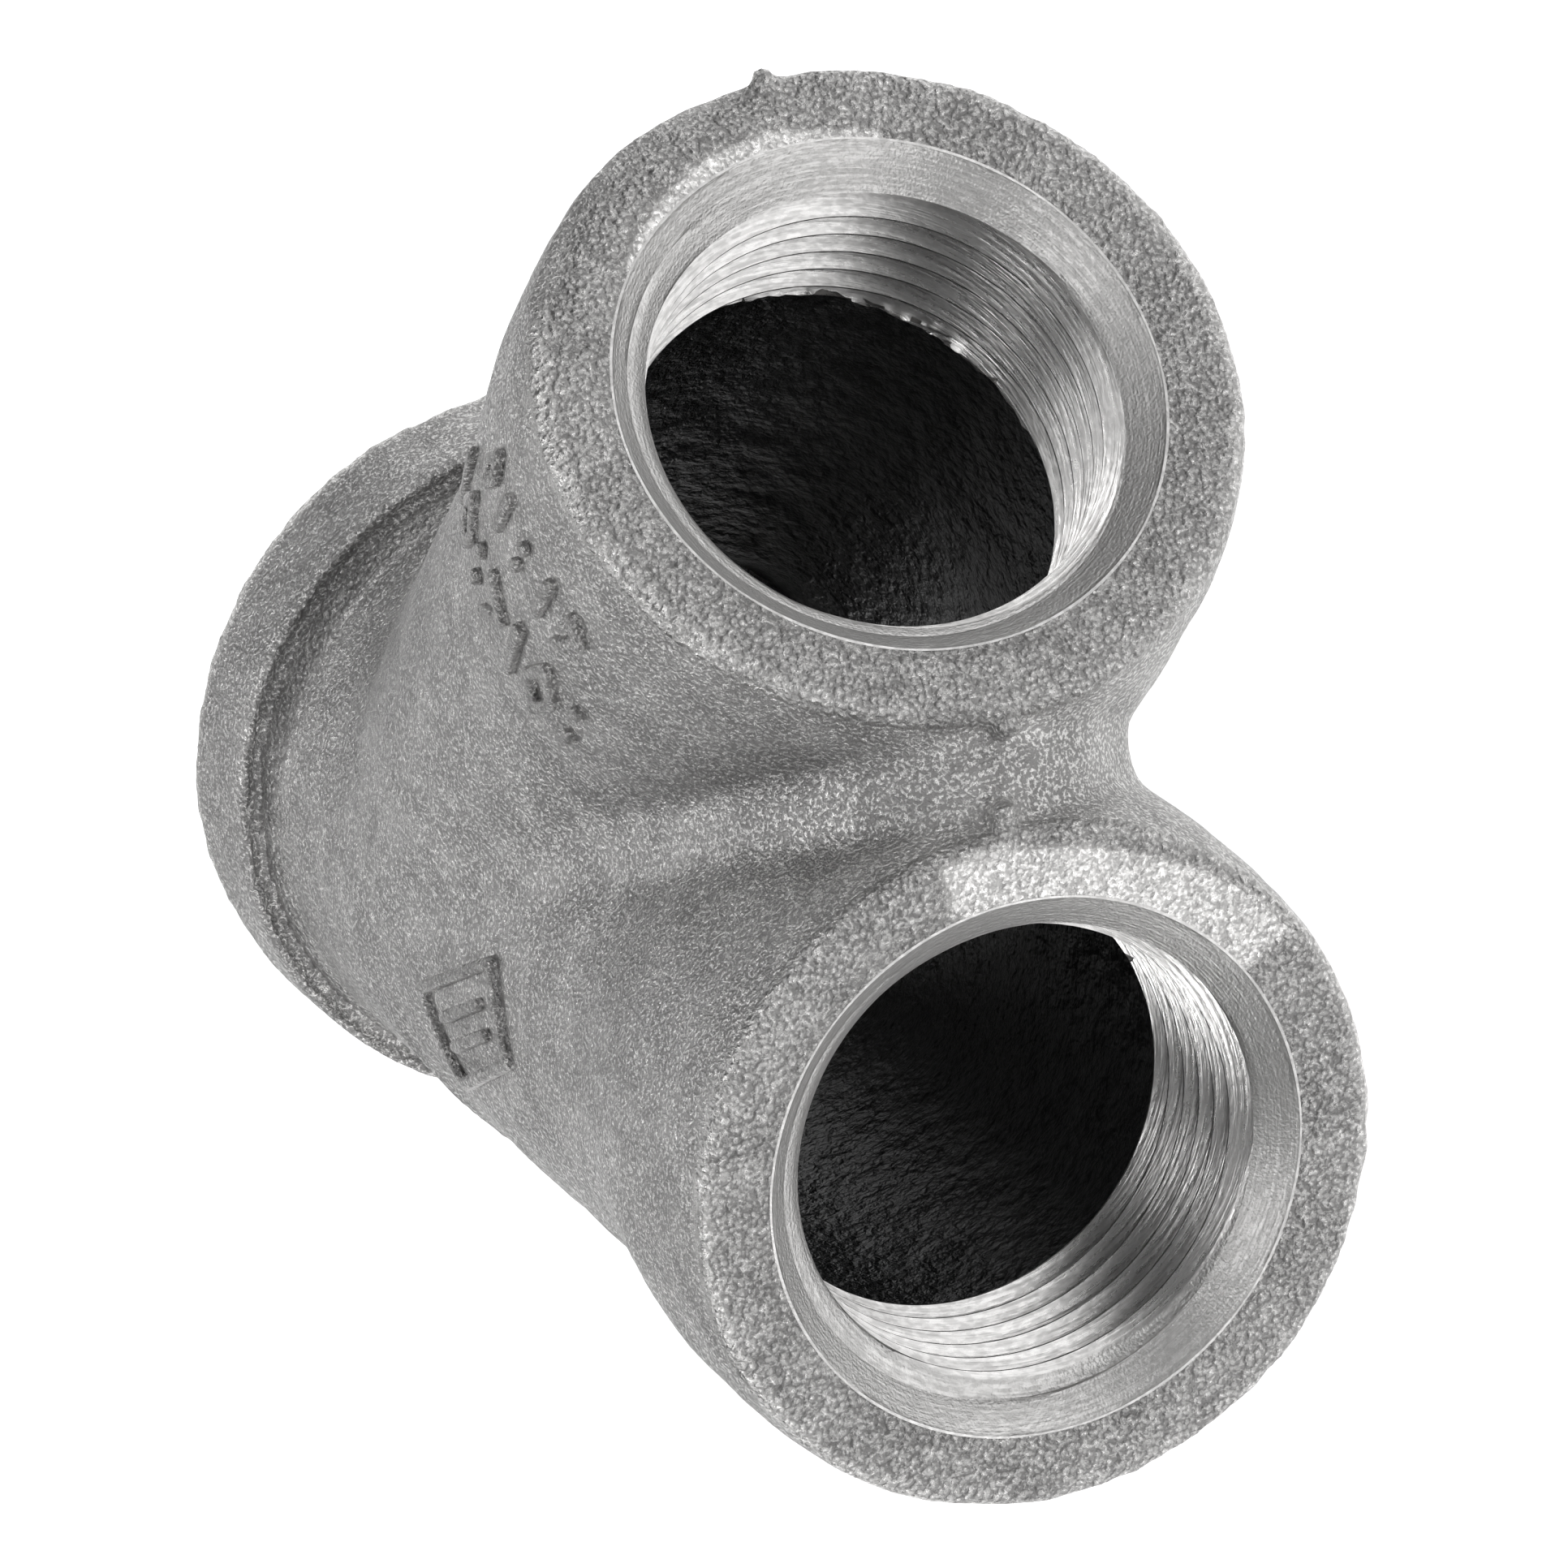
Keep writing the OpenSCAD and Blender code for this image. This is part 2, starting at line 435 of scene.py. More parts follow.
def slope(distance, p, step=0.05):
    """Direction in which a distance function grows fastest, at each point."""
    result = np.empty_like(p)
    for axis in range(3):
        shift = np.zeros(3)
        shift[axis] = step
        result[:, axis] = distance(p + shift) - distance(p - shift)
    return result / np.maximum(np.linalg.norm(result, axis=1), 1e-9)[:, None]


# %% [markdown]
# ## Sand grain
#
# Moulding sand leaves grain of many sizes. The larger unevenness belongs in the
# geometry, where it breaks up outlines and highlights. Each octave of noise is half
# as large as the one before, and the rough faces are coarser than the barrels.

# %% Cast the outside
SKIN_VOXEL = 0.42
SWELLING, SWELLING_SIZE = 0.10, 6.0
GRIT, FACE_GRIT, GRIT_SIZE = 0.035, 0.10, 1.3


def sand(points, size, octaves, seed):
    """Fractal noise about 0 for each point, whose largest lumps are size across."""
    shift = Vector((seed * 17.3, seed * 5.7, seed * 11.9))
    return np.array([noise.fractal(Vector(p) / size + shift, 1.0, 2.0, octaves) for p in points])


def rim_share(p):
    """1 close round the hole of a mouth, where the grain gives way to cut metal."""
    share = np.zeros(len(p))
    for mouth in MOUTHS:
        height, radius, _ = mouth_frame(p, mouth)
        share = np.maximum(share, (height > -1) * smooth((SOCKET_R + 1.1 - radius) / 0.7))
    return share


def worn_edge_and_highlight_share(p):
    """1 along the outer edges of the mouths, where knocks polished the iron; the brightening there also
    paints edge highlights.
    """
    share = np.zeros(len(p))
    for mouth in MOUTHS:
        height, radius, degrees = mouth_frame(p, mouth)
        patchy = 0.55 + 0.45 * np.sin(np.radians(degrees) * 2 - 2.0)
        edge = bump_between(radius, 17.3, 19.2, 0.6) * bump_between(height, -1.0, 0.6, 0.5)
        share = np.maximum(share, patchy * edge)
    return share


def build_skin():
    """The outside of the casting as one closed solid, with grain, before it is cored."""
    margin = 2 * SKIN_VOXEL + 0.5
    low = np.array(cad_box[0]) / MM - margin
    high = np.array(cad_box[1]) / MM + margin
    skin = mesh_of("cast_skin", casting, low, high, SKIN_VOXEL)
    p = read_points(skin)
    rough = face_share(p) * (1 - 0.8 * ground_share(p))
    lumps = SWELLING * sand(p, SWELLING_SIZE, 2, 1)
    lumps += (GRIT + (FACE_GRIT - GRIT) * rough) * sand(p, GRIT_SIZE, 2, 2)
    rim = rim_share(p)
    lumps = lumps * (1 - rim) - 0.02 * rim
    write_points(skin, p + slope(casting, p) * lumps[:, None])
    return skin


skin = build_skin()

# %% [markdown]
# ## The core
#
# The hollow is made as a solid of its own, the way a founder makes a sand core, and
# then subtracted. It is wider in the sockets, where the threaded walls go in later.

# %% Core the casting
CORE_VOXEL = 0.70
CORE_OUT = 1.5
WRINKLE, WRINKLE_SIZE = 0.16, 2.2


def core(p):
    """Distance to the surface of the core that forms the hollow."""
    _, run_radius, _, _ = run_frame(p)
    station, branch_radius, _, _ = turned_frame(p, fork_angle)
    branch = np.maximum(branch_radius - CAVITY_R, -station)
    hollow = fillet(run_radius - CAVITY_R, branch, 1.5)
    for mouth in MOUTHS:
        height, radius, _ = mouth_frame(p, mouth)
        socket = np.maximum(radius - SOCKET_R, -thread_depth - height)
        hollow = np.maximum(np.minimum(hollow, socket), height - CORE_OUT)
    return hollow


def apply_modifiers(piece):
    """Replace a piece's mesh by what its modifiers make of it."""
    depsgraph = bpy.context.evaluated_depsgraph_get()
    made = bpy.data.meshes.new_from_object(piece.evaluated_get(depsgraph))
    made.name = piece.name
    made.materials.clear()
    piece.modifiers.clear()
    piece.data = made


def subtract(piece, tool):
    """Cut the tool out of the piece and remove the tool."""
    cut = piece.modifiers.new("cut", "BOOLEAN")
    cut.operation = "DIFFERENCE"
    cut.solver = "MANIFOLD"
    cut.object = tool
    apply_modifiers(piece)
    bpy.data.objects.remove(tool)
    print(f"{piece.name}: {len(piece.data.polygons)} faces after the cut")


def build_core():
    """The core as a closed solid that sticks out of all three mouths."""
    reach_out = reach + CORE_OUT + 1
    low = (inlet_face - CORE_OUT - 1, -SOCKET_R - 1, -SOCKET_R - 1)
    high = (crossing + reach_out, reach_out * math.sin(fork_angle) + SOCKET_R, SOCKET_R + 1)
    solid = mesh_of("core", core, low, high, CORE_VOXEL)
    p = read_points(solid)
    deep = np.ones(len(p))
    for mouth in MOUTHS:
        height, _, _ = mouth_frame(p, mouth)
        deep = np.minimum(deep, smooth(-(height + thread_depth + 0.6) / 1.5))
    p += slope(core, p) * (WRINKLE * deep * sand(p, WRINKLE_SIZE, 3, 5))[:, None]
    write_points(solid, p)
    return solid


subtract(skin, build_core())

# %% [markdown]
# ## Threads
#
# A real tap cuts a helix, so the thread is cut with one here. The tap is a profile
# swept along a tapering helix: one ring of points per profile corner, where each turn
# of the sweep joins the next. Subtracted from a plug, it leaves the threaded wall.

# %% Cut the threads
PITCH = 25.4 / 14
THREAD_HEIGHT = 1.43
TAPER = 1 / 32
COUNTERSINK_R = 14.3
COUNTERSINK_ANGLE = math.radians(45)
CONE_DEPTH = (COUNTERSINK_R - bore_r) * math.tan(COUNTERSINK_ANGLE)
CREST = 0.06
RAGGED, RAGGED_SIZE = 0.45, 1.2
TAP_OVERRUN = 0.8
SAME_LEVEL = 1e-6
FLANK_STEPS = 4
TURN_STEPS = 256


def plug(depth, radius, sides):
    """A closed cylinder from z = 0 down to -depth: its points and its faces."""
    angles = [2 * math.pi * i / sides for i in range(sides)]
    points = [(radius * math.cos(a), radius * math.sin(a), z) for z in (-depth, 0) for a in angles]
    faces = [(i, (i + 1) % sides, sides + (i + 1) % sides, sides + i) for i in range(sides)]
    return points, faces + [tuple(reversed(range(sides))), tuple(range(sides, 2 * sides))]


def thread_profile():
    """One pitch of a 60 degree thread as (share of the pitch, share of the height)."""
    half = 0.5 - CREST
    rise = [(CREST / 2 + half * i / FLANK_STEPS, i / FLANK_STEPS) for i in range(FLANK_STEPS + 1)]
    fall = [(1 - t, h) for t, h in reversed(rise)]
    return rise + fall


def build_tap(name):
    """A closed tapping tool along Z whose shank leaves the mouth at z = 0."""
    over = 2 * PITCH
    turns = int((thread_depth + 2 * over) / PITCH) + 1
    profile = thread_profile()
    rows = [(turn + t, h) for turn in range(turns) for t, h in profile]
    points = []
    for lead, height in rows:
        for i in range(TURN_STEPS):
            angle = 2 * math.pi * i / TURN_STEPS
            z = over - (lead + i / TURN_STEPS) * PITCH
            radius = bore_r + TAPER * z + THREAD_HEIGHT * height
            cone = COUNTERSINK_R + z / math.tan(COUNTERSINK_ANGLE)
            radius = max(radius, min(cone, COUNTERSINK_R + 0.02))
            points.append((radius * math.cos(angle), radius * math.sin(angle), z))
    faces = []
    step = len(profile)
    for row in range(len(rows) - step):
        for i in range(TURN_STEPS):
            if i + 1 < TURN_STEPS:
                a, b = row * TURN_STEPS + i, row * TURN_STEPS + i + 1
            else:
                a, b = row * TURN_STEPS + i, (row + step) * TURN_STEPS
            faces.append((a, a + TURN_STEPS, b + TURN_STEPS, b))
    tap = new_piece(name, points, faces)
    for z, keep in ((TAP_OVERRUN, 1), (-thread_depth - TAP_OVERRUN, -1)):
        trim_and_cap(tap, z, keep)
    return tap


def trim_and_cap(piece, z, keep):
    """Cut off what lies beyond the level z, above it for keep 1, and close the cut."""
    mesh = bmesh.new()
    mesh.from_mesh(piece.data)
    everything = mesh.verts[:] + mesh.edges[:] + mesh.faces[:]
    bmesh.ops.bisect_plane(mesh, geom=everything, plane_co=(0, 0, z * MM), plane_no=(0, 0, keep),
                           clear_outer=True, dist=1e-8)
    rim = [e for e in mesh.edges
           if e.is_boundary and all(abs(v.co.z - z * MM) < SAME_LEVEL for v in e.verts)]
    bmesh.ops.contextual_create(mesh, geom=rim)
    mesh.to_mesh(piece.data)
    mesh.free()


def build_threaded_wall(name, mouth):
    """A threaded socket wall in place at its mouth."""
    wall = new_piece(name, *plug(thread_depth, SOCKET_R + 0.01, 256))
    subtract(wall, build_tap(name + "_tap"))
    local = read_points(wall)
    end = local[:, 2] < 0.02 - thread_depth
    local[end, 2] += RAGGED * sand(local[end], RAGGED_SIZE, 3, 7)
    write_points(wall, local)
    centre, way = MOUTHS[mouth]
    wall.data.transform(Matrix.Translation(centre * MM) @ way.to_track_quat("Z", "Y").to_matrix().to_4x4())
    field = wall.data.attributes.new("turned", "FLOAT_VECTOR", "POINT")
    field.data.foreach_set("vector", local.astype(np.float32).ravel())
    return wall


threaded = {
    "inlet_thread": build_threaded_wall("inlet_socket_thread", "inlet"),
    "run_outlet_thread": build_threaded_wall("run_socket_thread", "run_outlet"),
    "branch_outlet_thread": build_threaded_wall("branch_socket_thread", "branch_outlet"),
}

# %% [markdown]
# ## Raised marks
#
# A foundry cuts its marks into the mould, so they stand up from the casting as
# rounded strokes. These are invented and spell nothing: bars, lozenges, chevrons and
# pellets in two rows round the branch, and an oblong panel on the run. Each stroke is a
# line in a flat layout, wrapped onto the skin by the same distance function.

# %% Lay out and raise the marks
MARK_VOXEL = 0.13
MARK_HEIGHT, MARK_SINK, MARK_ROUND = 0.50, 0.35, 0.16
STROKE_HALF = 0.34
# B is a bar, L a lozenge, P a pair of pellets and C a chevron
LONG_ROW = {"station": 37.0, "degrees": 94, "half": 2.5, "pitch": 2.35, "marks": "BLPCBLP"}
SHORT_ROW = {"station": 44.2, "degrees": 96, "half": 1.5, "pitch": 2.3, "marks": "LBPBC"}
PAD_STATION, PAD_SIDE, PAD_TURN = 15.5, -1.8, math.radians(26)
PAD_LENGTH, PAD_WIDTH = 12.0, 6.0
# where to look for the marks: the middle and the half sizes of a box round them
ROWS_STATION, ROWS_LEVEL, ROWS_BOX = 40.2, 14.5, (14, 5.5)
PAD_LEVEL, PAD_BOX = RUN_BARREL - 0.7, (8, 2)


def mark_strokes(kind, half):
    """A mark's strokes as (along, across) pairs, for a mark of a given half length."""
    wide = half * 0.38
    if kind == "B":
        return [((-half, 0), (half, 0))]
    if kind == "C":
        return [((-half, -wide), (half * 0.2, wide)), ((half * 0.2, wide), (half, -wide * 0.6))]
    if kind == "P":
        return [((-half * 0.7, 0), (-half * 0.5, 0)), ((half * 0.5, 0), (half * 0.7, 0))]
    corners = [(-half, 0), (0, wide), (half, 0), (0, -wide)]
    return [(corners[i], corners[i - 1]) for i in range(4)]


def row_strokes(row):
    """All strokes of a row, each mark moved to its own place across."""
    strokes = []
    for i, kind in enumerate(row["marks"]):
        place = (i - (len(row["marks"]) - 1) / 2) * row["pitch"]
        for (a, b), (c, d) in mark_strokes(kind, row["half"]):
            strokes.append(((a, b + place), (c, d + place)))
    return strokes


def pad_strokes():
    """The outline of the panel and the two bars inside it."""
    x, y = PAD_LENGTH / 2 - STROKE_HALF, PAD_WIDTH / 2 - STROKE_HALF
    corners = [(-x, -y), (x, -y), (x, y), (-x, y)]
    outline = [(corners[i], corners[i - 1]) for i in range(4)]
    bars = [((-x * 0.55, side * y * 0.3), (x * 0.55, side * y * 0.3)) for side in (-1, 1)]
    return outline + bars


def stroke_distance(along, across, strokes):
    """Distance to the edge of the nearest stroke in the flat layout."""
    nearest = np.full(len(along), 1e3)
    for (a, b), (c, d) in strokes:
        length = max((c - a) ** 2 + (d - b) ** 2, 1e-6)
        share = np.clip(((along - a) * (c - a) + (across - b) * (d - b)) / length, 0, 1)
        nearest = np.minimum(nearest, np.hypot(along - a - share * (c - a), across - b - share * (d - b)))
    return nearest - STROKE_HALF


def raised(p, flat):
    """A flat layout raised from the skin with rounded edges."""
    height = casting(p)
    return np.maximum(corner(flat, height - MARK_HEIGHT, MARK_ROUND), -MARK_SINK - height)


def row_marks(p, row):
    """Distance to a row of marks round the branch."""
    station, _, _, _ = turned_frame(p, fork_angle)
    _, _, degrees = mouth_frame(p, "branch_outlet")
    across = np.radians(degrees - row["degrees"]) * BRANCH_BARREL
    return stroke_distance(station - row["station"], across, row_strokes(row))


def branch_marks(p):
    """Distance to both rows of marks on the branch."""
    return raised(p, np.minimum(row_marks(p, LONG_ROW), row_marks(p, SHORT_ROW)))


def pad_marks(p):
    """Distance to the oblong panel on the run."""
    station, _, side, _ = run_frame(p)
    x, y = station - PAD_STATION, side - PAD_SIDE
    along = x * math.cos(PAD_TURN) + y * math.sin(PAD_TURN)
    across = y * math.cos(PAD_TURN) - x * math.sin(PAD_TURN)
    return raised(p, stroke_distance(along, across, pad_strokes()))


def box_round(centre, half, half_height):
    """Lowest and highest corner of a box round a point."""
    half = np.array((half, half, half_height))
    return np.array(centre) - half, np.array(centre) + half


row_centre = CENTRE + BRANCH_WAY * ROWS_STATION + Vector((0, 0, ROWS_LEVEL))
raised_rows = mesh_of("raised_rows", branch_marks, *box_round(row_centre, *ROWS_BOX), MARK_VOXEL)
pad_centre = CENTRE + Vector((PAD_STATION, PAD_SIDE, PAD_LEVEL))
raised_panel = mesh_of("raised_panel", pad_marks, *box_round(pad_centre, *PAD_BOX), MARK_VOXEL)

# %% [markdown]
# ## Shaders as sums
#
# A shader is arithmetic on patterns, and reads best as arithmetic. This class wraps
# one socket, so that 1 - mask or grain * 0.3 adds the Math nodes by itself. Every
# other node comes from its node method, which takes settings first and inputs after.

# %% A socket that does sums


class Wire:
    """A shader socket that can be used in a sum."""

    def __init__(self, tree, socket=None):
        self.tree = tree
        self.socket = socket

    def node(self, kind, settings, inputs, output=0):
        """Add a node: its settings, then a value or a wire for each input."""
        made = self.tree.nodes.new(kind)
        for key, value in settings.items():
            setattr(made, key, value)
        for key, value in inputs.items():
            if isinstance(value, Wire):
                self.tree.links.new(value.socket, made.inputs[key])
            else:
                made.inputs[key].default_value = value
        return Wire(self.tree, made.outputs[output])

    def sum_node(self, operation, first, second):
        return self.node("ShaderNodeMath", {"operation": operation}, {0: first, 1: second})

    def __add__(self, other):
        return self.sum_node("ADD", self, other)

    def __radd__(self, other):
        return self.sum_node("ADD", other, self)

    def __sub__(self, other):
        return self.sum_node("SUBTRACT", self, other)

    def __rsub__(self, other):
        return self.sum_node("SUBTRACT", other, self)

    def __mul__(self, other):
        return self.sum_node("MULTIPLY", self, other)

    def __rmul__(self, other):
        return self.sum_node("MULTIPLY", other, self)

    def between(self, low, high):
        """0 below low, 1 above high, with a smooth rise."""
        return self.node("ShaderNodeMapRange", {"interpolation_type": "SMOOTHSTEP"},
                         {0: self, 1: low, 2: high})

    def blend(self, dark, light):
        """Colour that goes from dark, where the wire is 0, to light, where it is 1."""
        return self.node("ShaderNodeMix", {"data_type": "RGBA"}, {0: self, 6: dark, 7: light}, 2)


def start_material(name):
    """A new material: the material, a wire to add nodes with, and its main shader."""
    material = bpy.data.materials.new(name)
    material.use_nodes = True
    tree = material.node_tree
    return material, Wire(tree), tree.nodes["Principled BSDF"]


def feed(shader, values):
    """Set or link the main shader's sockets."""
    for key, value in values.items():
        if isinstance(value, Wire):
            value.tree.links.new(value.socket, shader.inputs[key])
        else:
            shader.inputs[key].default_value = value


def grey(value, warmth=0.0):
    """A grey with a little warmth or, below 0, coolness."""
    return value * (1 + warmth), value, value * (1 - warmth), 1


def stored(start, name, output="Fac"):
    """The value that the mesh stores at each vertex under a name."""
    return start.node("ShaderNodeAttribute", {"attribute_name": name}, {}, output)


def fractal(start, place, scale, detail, roughness=0.5):
    """Cloudy noise of several sizes, about 0.5."""
    return start.node("ShaderNodeTexNoise", {}, {"Vector": place, "Scale": scale, "Detail": detail,
                                                 "Roughness": roughness})


def relief(start, height):
    """A normal bent as if the surface rose by a height in millimetres."""
    return start.node("ShaderNodeBump", {}, {"Strength": 1.0, "Distance": MM, "Height": height})


print("pattern helpers ready")


# %% [markdown]
# ## As-cast iron
#
# The annealed skin is grey scale over bright iron. Its sand grain is what the eye
# reads: closely packed domes, each with its own glint, coarse on the mouth faces and
# finer and flatter on the barrels. The glint comes from each dome's shape and gloss, and is
# also painted on as a brighter colour on its top, with painted shade in the gaps. Voronoi cells
# make the domes and fine noise breaks them up. The attribute "face" says how coarse the grain is at each
# vertex.

# %% Finish of the casting
GRAIN_COARSE, GRAIN_FINE, GRAIN_GRIT, PATCH_SCALE = 3.0, 4.6, 9.0, 0.35
GRAIN_DEPTH, FACE_DEPTH = 0.17, 0.60
DARK_IRON, BRIGHT_IRON, IRON_WARMTH = 0.24, 0.86, 0.012
WOBBLE_SCALE, WOBBLE = 1.1, 0.3


def millimetres(start):
    """Object coordinates in millimetres, moved about a little so that no grid shows."""
    place = start.node("ShaderNodeTexCoord", {}, {}, "Object")
    scaled = start.node("ShaderNodeVectorMath", {"operation": "SCALE"}, {0: place, "Scale": 1 / MM})
    wobble = start.node("ShaderNodeTexNoise", {},
                        {"Vector": scaled, "Scale": WOBBLE_SCALE, "Detail": 2.0}, "Color")
    return start.node("ShaderNodeVectorMath", {"operation": "MULTIPLY_ADD"},
                      {0: wobble, 1: (WOBBLE,) * 3, 2: scaled})


def domes(start, place, scale):
    """Closely packed rounded grains, 1 at the top of each and 0 in the gaps."""
    gap = start.node("ShaderNodeTexVoronoi", {"feature": "SMOOTH_F1"},
                     {"Vector": place, "Scale": scale, "Smoothness": 0.35})
    return 1 - gap * gap * 1.6


def cast_iron_finish():
    """Sand-grained iron: its grain tops painted brighter as glints, its ground patches paler, and its worn
    edges painted brighter, partly as edge highlights.
    """
    material, start, shader = start_material("cast_iron_as_cast")
    place = millimetres(start)
    face, ground, wear_and_highlight = (stored(start, name) for name in ("face", "ground", "wear_and_highlight"))
    coarse = domes(start, place, GRAIN_COARSE)
    fine = fractal(start, place, GRAIN_FINE, 3.0, 0.62)
    grit = fractal(start, place, GRAIN_GRIT, 2.0)
    patches = fractal(start, place, PATCH_SCALE, 3.0)
    depth = (face * (FACE_DEPTH - GRAIN_DEPTH) + GRAIN_DEPTH) * (1 - ground * 0.75)
    height = coarse * face * 0.6 + fine * (1.2 - face * 0.5) + grit * 0.25
    # Brighter colour on the grain tops is a painted glint, and the darker colour between them is painted
    # shade. Their lower roughness is real.
    grain_peak_and_glint = fine.between(0.48, 0.62) * (1 - face * 0.3) + coarse.between(0.55, 0.9) * face * 0.5
    # The worn edges are lighter partly from real wear and partly as a painted highlight along the rims.
    # The ground patches are paler metal.
    tone = patches.between(0.3, 0.7) * 0.15 + grain_peak_and_glint * 0.65 + ground * 0.20 + wear_and_highlight * 0.35
    feed(shader, {
        "Base Color": tone.blend(grey(DARK_IRON, IRON_WARMTH), grey(BRIGHT_IRON, IRON_WARMTH)),
        "Metallic": 0.92,
        "Roughness": 0.48 - grain_peak_and_glint * 0.22 - face * 0.05 - wear_and_highlight * 0.06,
        "Normal": relief(start, height * depth),
    })
    return material


# %% [markdown]
# ## The hollow
#
# Inside, the casting still wears its black annealing scale: dark and slightly glossy,
# wrinkled by the sand of the core.

# %% Finish of the hollow
DARK_SCALE, PALE_SCALE, SCALE_WARMTH = 0.008, 0.03, -0.02


def scale_finish():
    """Black, slightly glossy and wrinkled."""
    material, start, shader = start_material("black_annealing_scale")
    place = millimetres(start)
    wrinkles = fractal(start, place, 1.5, 3.0, 0.55)
    grit = fractal(start, place, 4.5, 2.0)
    pale = wrinkles.between(0.35, 0.7)
    feed(shader, {
        "Base Color": pale.blend(grey(DARK_SCALE, SCALE_WARMTH), grey(PALE_SCALE, SCALE_WARMTH)),
        "Metallic": 0.0,
        "Roughness": 0.38,
        "Normal": relief(start, wrinkles * 0.30 + grit * 0.05),
    })
    return material


# %% [markdown]
# ## Cut metal
#
# The tap leaves bright iron, streaked round and round by the cutting edge. Noise that
# is stretched along the turn and squeezed along the axis gives those streaks. It uses
# the attribute "turned", each vertex's place in its own socket before it was turned
# to its mouth, so the streaks circle every mouth alike.

# %% Finish of the threads
DARK_CUT, BRIGHT_CUT = 0.46, 0.78
STREAK_STRETCH, TEAR_STRETCH = (0.12, 0.12, 11.0), (1.6, 1.6, 8.0)


def stretched(start, place, factors):
    """Coordinates scaled by a factor along each axis."""
    return start.node("ShaderNodeVectorMath", {"operation": "MULTIPLY"}, {0: place, 1: factors})


def turned_finish():
    """Bright iron with streaks round the axis, and a duller countersink."""
    material, start, shader = start_material("machined_iron")
    place = stored(start, "turned", "Vector")
    depth = start.node("ShaderNodeSeparateXYZ", {}, {0: place}, "Z")
    cone = depth.between(-CONE_DEPTH - 0.1, 0.1 - CONE_DEPTH)
    streaks = fractal(start, stretched(start, place, STREAK_STRETCH), 1.0, 4.0, 0.6)
    tears = fractal(start, stretched(start, place, TEAR_STRETCH), 1.0, 3.0)
    grain = fractal(start, place, 6.0, 2.0)
    height = streaks * 0.030 + tears * 0.016 + grain * cone * 0.05
    tone = streaks.between(0.35, 0.65) * 0.5 + tears.between(0.4, 0.6) * 0.4 - cone * 0.25
    feed(shader, {
        "Base Color": tone.blend(grey(DARK_CUT, IRON_WARMTH), grey(BRIGHT_CUT, IRON_WARMTH)),
        "Metallic": 1.0,
        "Roughness": 0.34 - tone * 0.1 + cone * 0.12,
        "Normal": relief(start, height),
    })
    return material


# %% [markdown]
# ## Putting the finishes on
#
# One casting wears two finishes, so its faces have to know whether they lie in the
# hollow. The distance function of the core tells that. The shares that the finishes
# read are stored on the vertices, and corners sharper than a limit stay crisp.

# %% Put the finishes on
MARK_GRAIN, HOLLOW_REACH, FACE_MARGIN = 0.5, 0.4, 0.5
SKIN_CREASE, MARK_CREASE, THREAD_CREASE = 35, 60, 30
CAST_FINISH = cast_iron_finish()
SCALE_FINISH = scale_finish()
TURNED_FINISH = turned_finish()


def share_attribute(piece, name, values):
    """Store one number per vertex for the shaders."""
    field = piece.data.attributes.new(name, "FLOAT", "POINT")
    field.data.foreach_set("value", np.asarray(values, np.float32))


def shade(piece, sharp_angle):
    """Smooth shading, broken only at corners sharper than an angle in degrees."""
    piece.data.shade_smooth()
    piece.data.set_sharp_from_angle(angle=math.radians(sharp_angle))


def in_hollow(p):
    """Whether each point lies on the wall of the hollow."""
    inside = np.abs(core(p)) < HOLLOW_REACH
    for mouth in MOUTHS:
        height, _, _ = mouth_frame(p, mouth)
        inside &= height < -FACE_MARGIN
    return inside


def finish_skin():
    """Give the casting its stored shares and its two finishes."""
    p = read_points(skin)
    share_attribute(skin, "face", face_share(p))
    share_attribute(skin, "ground", ground_share(p))
    share_attribute(skin, "wear_and_highlight", worn_edge_and_highlight_share(p))
    skin.data.materials.append(CAST_FINISH)
    skin.data.materials.append(SCALE_FINISH)
    middle = np.empty(len(skin.data.polygons) * 3, np.float32)
    skin.data.polygons.foreach_get("center", middle)
    inside = in_hollow(middle.reshape(-1, 3) / MM)
    skin.data.polygons.foreach_set("material_index", inside.astype(np.int32))
    shade(skin, SKIN_CREASE)
    print(f"{inside.sum()} faces in the hollow, {len(inside) - inside.sum()} outside")


finish_skin()
for mark in (raised_rows, raised_panel):
    mark.data.materials.append(CAST_FINISH)
    share_attribute(mark, "face", np.full(len(mark.data.vertices), MARK_GRAIN))
    shade(mark, MARK_CREASE)
for wall in threaded.values():
    wall.data.materials.append(TURNED_FINISH)
    shade(wall, THREAD_CREASE)

# %% [markdown]
# ## What each piece stands for
#
# Nothing on a fitting moves, so every piece rides on the one body. The skin stands
# for all the plain cylinders of the CAD casting at once, because a casting has no
# joints between its regions. The marks and the threaded walls each stand for their own.

# %% Ride and replace
CAST_REGIONS = ("run_barrel", "branch_barrel", "inlet_band", "run_outlet_band",
                "branch_outlet_band", "crotch_web")


def stand_in(piece, slot, *nodes):
    """Fix a piece to the body in place of the plain CAD nodes."""
    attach(piece, "root")
    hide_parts(*nodes)
    print(f"{piece.name} stands for {', '.join(nodes)}")


stand_in(skin, "cast_iron", *CAST_REGIONS)
stand_in(raised_rows, "cast_iron", "cast_marks")
stand_in(raised_panel, "cast_iron", "maker_pad")
for node, wall in threaded.items():
    stand_in(wall, "machined_iron", node)

# %% [markdown]
# ## The light table
#
# Small parts are often shown on a glowing white table, which leaves almost no shadow
# and gives bare metal something pale to reflect. The floor is a plain plane that
# gives off nearly all of its own brightness.

# %% Lay the floor
FLOOR_SIZE, FLOOR_GAP = 8.0, 0.0004
FLOOR_GLOW = 0.97


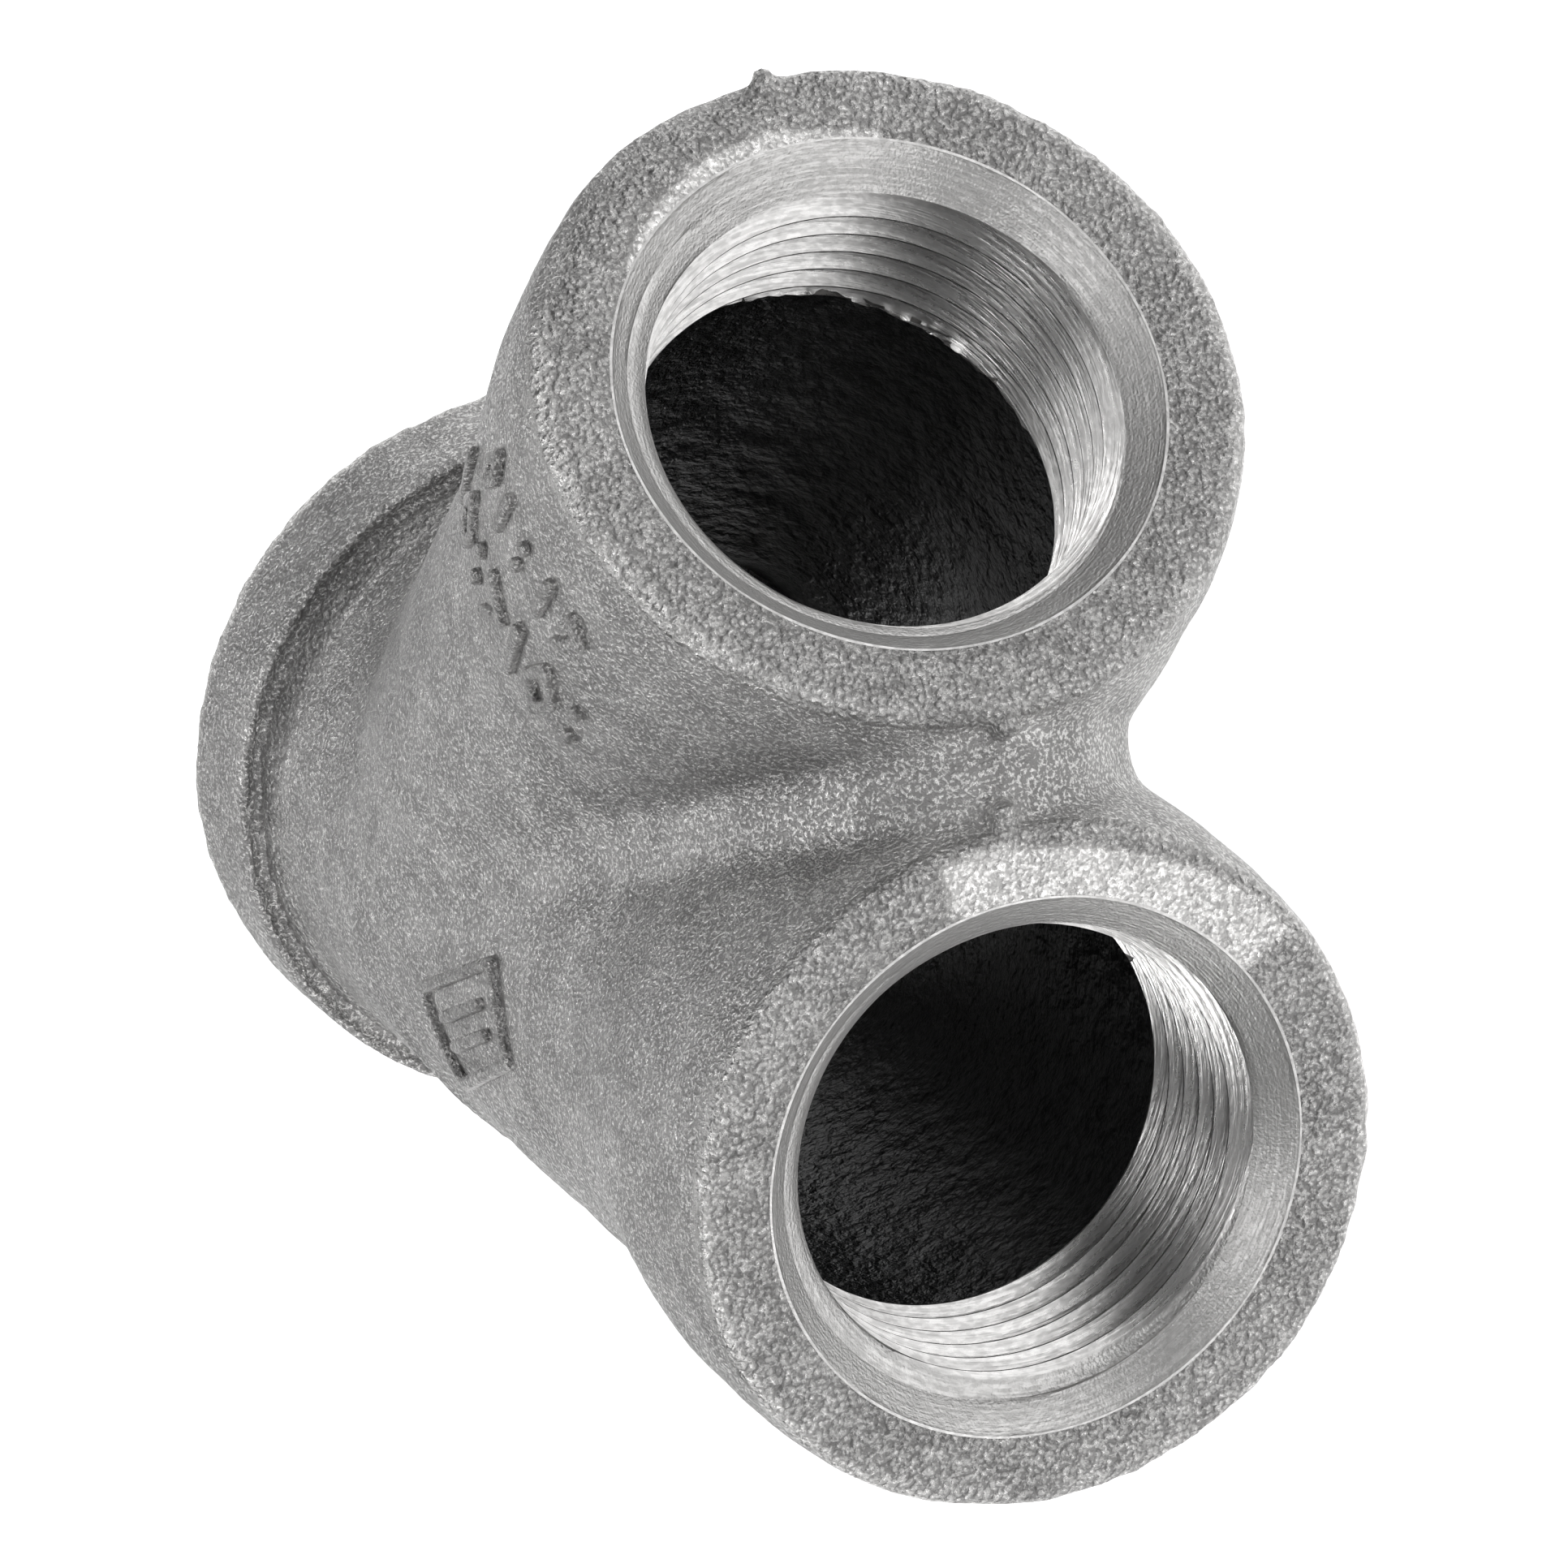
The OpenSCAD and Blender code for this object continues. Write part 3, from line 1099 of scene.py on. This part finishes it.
def lay_floor():
    """A pale glowing plane just below the fitting."""
    half = FLOOR_SIZE / 2 / MM
    level = (floor_z - FLOOR_GAP) / MM
    corners = [(-half, -half, level), (half, -half, level), (half, half, level), (-half, half, level)]
    floor = new_piece("light_table", corners, [(0, 1, 2, 3)])
    material, _, shader = start_material("pale_glowing_glass")
    feed(shader, {
        "Base Color": grey(0.5),
        "Roughness": 0.8,
        "Emission Color": grey(1.0),
        "Emission Strength": FLOOR_GLOW,
    })
    floor.data.materials.append(material)


lay_floor()

# %% [markdown]
# ## Studio light
#
# Metal shows its surroundings more than its own colour, so its light is a ring of
# softboxes. Each is a square panel at arm's length, aimed at the fitting, and given by
# its direction and how brightly it glows. The strongest hangs over the body from
# behind the inlet, since that is what the top of the barrels mirrors to the camera.

# %% Hang the softboxes
WORLD_GLOW = 0.04
SOFTBOX_DISTANCE, SOFTBOX_SIZE = 1.0, 0.5
SOFTBOXES = [
    ("top", (0.0, 1.0, 0.1), 2.9),
    ("front_low", (0.8, -0.6, 0.1), 5.2),
    ("bottom", (0.0, -1.0, 0.15), 3.7),
    ("above", (0.0, 0.0, 1.0), 2.3),
    ("above_back", (-0.6, -0.2, 0.75), 4.8),
    ("back_low", (-0.87, -0.36, 0.33), 0.35),
    ("above_front", (0.6, 0.2, 0.8), 3.1),
    ("above_bottom", (0.1, -0.7, 0.7), 0.55),
    ("above_top", (0.1, 0.7, 0.7), 1.45),
]


def hang_softbox(name, way, glow):
    """A square panel that glows evenly and faces the fitting."""
    light = bpy.data.lights.new(name, "AREA")
    light.size = SOFTBOX_SIZE
    light.energy = glow * math.pi * SOFTBOX_SIZE ** 2
    lamp = bpy.data.objects.new(name, light)
    way = Vector(way).normalized()
    lamp.location = AIM * MM + way * SOFTBOX_DISTANCE
    lamp.rotation_euler = way.to_track_quat("Z", "Y").to_euler()
    bpy.context.scene.collection.objects.link(lamp)


for name, way, glow in SOFTBOXES:
    hang_softbox(name, way, glow)

world = bpy.data.worlds.new("dim_room")
world.use_nodes = True
world.node_tree.nodes["Background"].inputs["Strength"].default_value = WORLD_GLOW
world.node_tree.nodes["Background"].inputs["Color"].default_value = grey(1.0)
bpy.context.scene.world = world
bpy.context.scene.view_settings.view_transform = "Standard"
print(len(SOFTBOXES), "softboxes")
